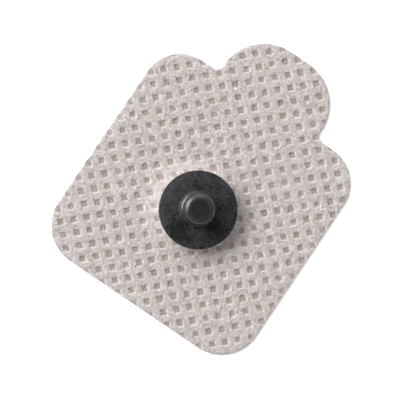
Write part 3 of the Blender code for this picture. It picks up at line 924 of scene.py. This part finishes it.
def make_stud(material):
    p = [(0.0, STUD_TOP - 0.015), (0.25, STUD_TOP - 0.015), (0.45, STUD_TOP - 0.03), (0.62, STUD_TOP - 0.03),
         (0.78, STUD_TOP - 0.008), (HEAD_FLAT_R - 0.1, STUD_TOP - 0.002)]
    # the shoulder starts gently and turns over fast at the side
    p += fine_curve([(HEAD_FLAT_R, 0.004), (1.35, 0.012), (1.44, 0.030), (1.52, 0.056), (1.60, 0.089), (1.68, 0.127),
                     (1.75, 0.169), (1.81, 0.219), (1.865, 0.284), (1.915, 0.37), (1.945, 0.48),
                     (HEAD_R, STUD_TOP - HEAD_Z)], STUD_TOP, 4)
    for i in range(1, 9):
        t = i / 8
        p.append((HEAD_R + (NECK_R - HEAD_R) * (t * t * (3 - 2 * t)), HEAD_Z + (NECK_Z - HEAD_Z) * t))
    p.append((NECK_R + 0.015, COLLAR_TOP + 0.05))
    p += fine_curve([(1.80, 0.0), (1.86, 0.013), (1.92, 0.035), (2.00, 0.068), (2.08, 0.106), (2.14, 0.145),
                     (2.18, 0.195), (COLLAR_R, 0.26)], COLLAR_TOP, 3)
    p += [(COLLAR_R, FLANGE_TOP + 0.07), (COLLAR_R + 0.02, FLANGE_TOP + 0.025), (COLLAR_R + 0.07, FLANGE_TOP)]
    e = 0.10
    rim = FLANGE_TOP - 0.155  # the flange falls a little towards its edge
    p += curve_points([p.pop(), (2.7, FLANGE_TOP - 0.014), (3.2, FLANGE_TOP - 0.036), (3.8, FLANGE_TOP - 0.070),
                       (4.3, FLANGE_TOP - 0.105), (4.65, FLANGE_TOP - 0.134), (FLANGE_R - e - 0.02, rim)], 0.12)
    p += quarter(FLANGE_R - e, rim - e, e, e, 90, 0, 6)
    p += quarter(FLANGE_R - e, FLANGE_BOTTOM + e, e, e, 0, -90, 6)
    p += [(4.2, FLANGE_BOTTOM), (2.6, FLANGE_BOTTOM), (1.35, FLANGE_BOTTOM), (1.25, FLANGE_BOTTOM + 0.1),
          (1.25, 3.9), (1.05, 4.1), (0.0, 4.1)]

    def relief(v):
        x, y, z = v.T
        r = np.hypot(x, y)
        onto = smooth((z - FLANGE_BOTTOM - 0.3) / 0.2)
        n = 0.006 * value_noise(x, y, 0.9, 21) + 0.003 * value_noise(x, y, 0.33, 22)
        # a small moulding mark on the flange
        d = np.hypot((x + 0.09) / 0.24, (y - 3.2) / 0.18)
        n = n - 0.03 * np.exp(-d ** 2) * (z > FLANGE_TOP - 0.2) * (z < FLANGE_TOP + 0.02)
        v = v.copy()
        v[:, 2] = z + n * onto * smooth((FLANGE_R - r) / 0.3 + 0.4)
        # the photo shows the collar a little off the head's centre
        collar = (z > FLANGE_TOP - 0.02) & (z < COLLAR_TOP + 0.02) & (r > 1.74)
        shift = collar * smooth((r - 1.74) / 0.25) * (1 - smooth((r - COLLAR_R - 0.07) / 0.5))
        v[:, 0] += COLLAR_SHIFT[0] * shift
        v[:, 1] += COLLAR_SHIFT[1] * shift
        return v

    return turned("stud", p, 192, material, relief)


def make_eyelet(material):
    top = 3.75
    p = [(0.0, top - 0.02), (0.6, top - 0.01), (0.77, top), (0.86, top - 0.04), (0.93, top - 0.14), (0.95, top - 0.25),
         (0.95, EYELET_TOP + 0.12), (0.98, EYELET_TOP + 0.04), (1.05, EYELET_TOP)]
    p += curve_points([p.pop(), (EYELET_R - 0.1, EYELET_TOP)], 0.3)
    p += quarter(EYELET_R - 0.08, EYELET_TOP - 0.08, 0.08, 0.08, 90, 0, 4)
    p += quarter(EYELET_R - 0.08, EYELET_BOTTOM + 0.08, 0.08, 0.08, 0, -90, 4)
    p += curve_points([(EYELET_R - 0.1, EYELET_BOTTOM), (0.9, EYELET_BOTTOM - 0.02)], 0.3)
    p += [(0.7, EYELET_BOTTOM), (0.5, EYELET_BOTTOM + 0.05), (0.0, EYELET_BOTTOM + 0.07)]
    return turned("eyelet", p, 96, material)


def make_gel(material):
    pocket = EYELET_R + 0.06
    def under(r):
        t = min(1.0, max(0.0, (r - DRAPE_TOP_R) / (DRAPE_FOOT_R - DRAPE_TOP_R)))
        return DRAPE_HEIGHT * (1 - t) ** DRAPE_POWER
    p = [(0.0, EYELET_BOTTOM - 0.04), (pocket, EYELET_BOTTOM - 0.04), (pocket, 0.86), (pocket + 0.06, 0.92)]
    p += [(4.3, 0.92), (4.6, 0.9)]
    for r in np.linspace(4.8, GEL_R - 0.08, 8):
        p.append((float(r), min(0.9, under(float(r)) - 0.12)))
    last = p[-1]
    p += [(GEL_R - 0.02, last[1] - 0.05), (GEL_R, last[1] - 0.12), (GEL_R - 0.01, 0.07), (GEL_R - 0.05, 0.015), (GEL_R - 0.12, 0.0)]
    p += curve_points([p.pop(), (0.0, 0.0)], 0.4)
    return turned("gel", p, 120, material)


# ------------------------------------------------------------------------------------------
# build
# ------------------------------------------------------------------------------------------
cloth = make_cloth([cloth_material(), adhesive_material()])
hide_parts("cloth_backing")
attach(cloth, "root")

fibre_finish = fibre_material()
for number, (count, shortest, longest, thin, thick) in enumerate((
    (5900, 0.5, 1.5, 0.014, 0.026), (5900, 0.4, 1.1, 0.012, 0.024), (5900, 0.4, 1.3, 0.016, 0.034),
)):
    layer = make_fibres(f"cloth_fibres_{number + 1}", count, shortest, longest, thin, thick, 60 + number, fibre_finish)
    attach(layer, "root")

stud = make_stud(carbon_material())
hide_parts("snap_stud")
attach(stud, "root")

eyelet = make_eyelet(silver_material())
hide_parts("sensor_eyelet")
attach(eyelet, "root")

gel = make_gel(gel_material())
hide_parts("hydrogel_disc")
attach(gel, "root")

# ------------------------------------------------------------------------------------------
# stage and light
# ------------------------------------------------------------------------------------------
bpy.ops.mesh.primitive_circle_add(vertices=96, radius=0.55, fill_type="NGON", location=(0, 0, -0.00001))
floor = bpy.context.active_object
floor.name = "floor"
floor.data.materials.append(floor_material())


def area_light(name, direction, distance, size, power, colour=(1, 1, 1)):
    data = bpy.data.lights.new(name, "AREA")
    data.shape = "DISK"
    data.size = size
    data.energy = power
    data.color = colour
    obj = bpy.data.objects.new(name, data)
    bpy.context.scene.collection.objects.link(obj)
    d = Vector(direction).normalized()
    obj.location = d * distance
    obj.rotation_mode = "QUATERNION"
    obj.rotation_quaternion = d.to_track_quat("Z", "Y")
    obj.visible_camera = False
    return obj


def light_from(azimuth, elevation):
    """Unit vector towards a light: azimuth turns anticlockwise from the picture's right."""
    a, e = math.radians(azimuth), math.radians(elevation)
    flat = IMAGE_RIGHT * math.cos(a) + IMAGE_UP * math.sin(a)
    flat.z = 0
    return flat.normalized() * math.cos(e) + Vector((0, 0, math.sin(e)))


area_light("key", light_from(150, 41), 0.9, 0.64, 10.3)
area_light("fill", light_from(100, 40), 0.9, 1.0, 3.0)

world = bpy.data.worlds.new("world")
bpy.context.scene.world = world
world.use_nodes = True
sky = world.node_tree
where = sky.nodes.new("ShaderNodeTexCoord")
parts = sky.nodes.new("ShaderNodeSeparateXYZ")
sky.links.new(where.outputs["Generated"], parts.inputs[0])
height = sky.nodes.new("ShaderNodeMapRange")
height.interpolation_type = "SMOOTHSTEP"
sky.links.new(parts.outputs["Z"], height.inputs["Value"])
height.inputs["From Min"].default_value = 0.20
height.inputs["From Max"].default_value = 0.92
height.inputs["To Min"].default_value = 0.92
height.inputs["To Max"].default_value = 0.09
# the wall behind the tab is the brighter one
lean = sky.nodes.new("ShaderNodeVectorMath")
lean.operation = "DOT_PRODUCT"
sky.links.new(where.outputs["Generated"], lean.inputs[0])
bright_side = IMAGE_UP * math.sin(math.radians(118)) + IMAGE_RIGHT * math.cos(math.radians(118))
bright_side.z = 0
lean.inputs[1].default_value = bright_side.normalized()
gain = sky.nodes.new("ShaderNodeMath")
gain.operation = "MULTIPLY_ADD"
sky.links.new(lean.outputs["Value"], gain.inputs[0])
gain.inputs[1].default_value = 0.15
gain.inputs[2].default_value = 1.0
strength = sky.nodes.new("ShaderNodeMath")
strength.operation = "MULTIPLY"
sky.links.new(height.outputs[0], strength.inputs[0])
sky.links.new(gain.outputs[0], strength.inputs[1])
# seen directly it is plain white, so the floor runs into it
seen = sky.nodes.new("ShaderNodeLightPath")
shown = sky.nodes.new("ShaderNodeMix")
shown.data_type = "FLOAT"
sky.links.new(seen.outputs["Is Camera Ray"], shown.inputs["Factor"])
sky.links.new(strength.outputs[0], shown.inputs["A"])
shown.inputs["B"].default_value = 1.0
sky.links.new(shown.outputs["Result"], sky.nodes["Background"].inputs["Strength"])
sky.nodes["Background"].inputs["Color"].default_value = (1.0, 1.0, 1.0, 1.0)

bpy.context.scene.view_settings.view_transform = "Standard"
bpy.context.scene.view_settings.look = "None"
bpy.context.scene.view_settings.exposure = 0.0
bpy.context.scene.view_settings.gamma = 1.0
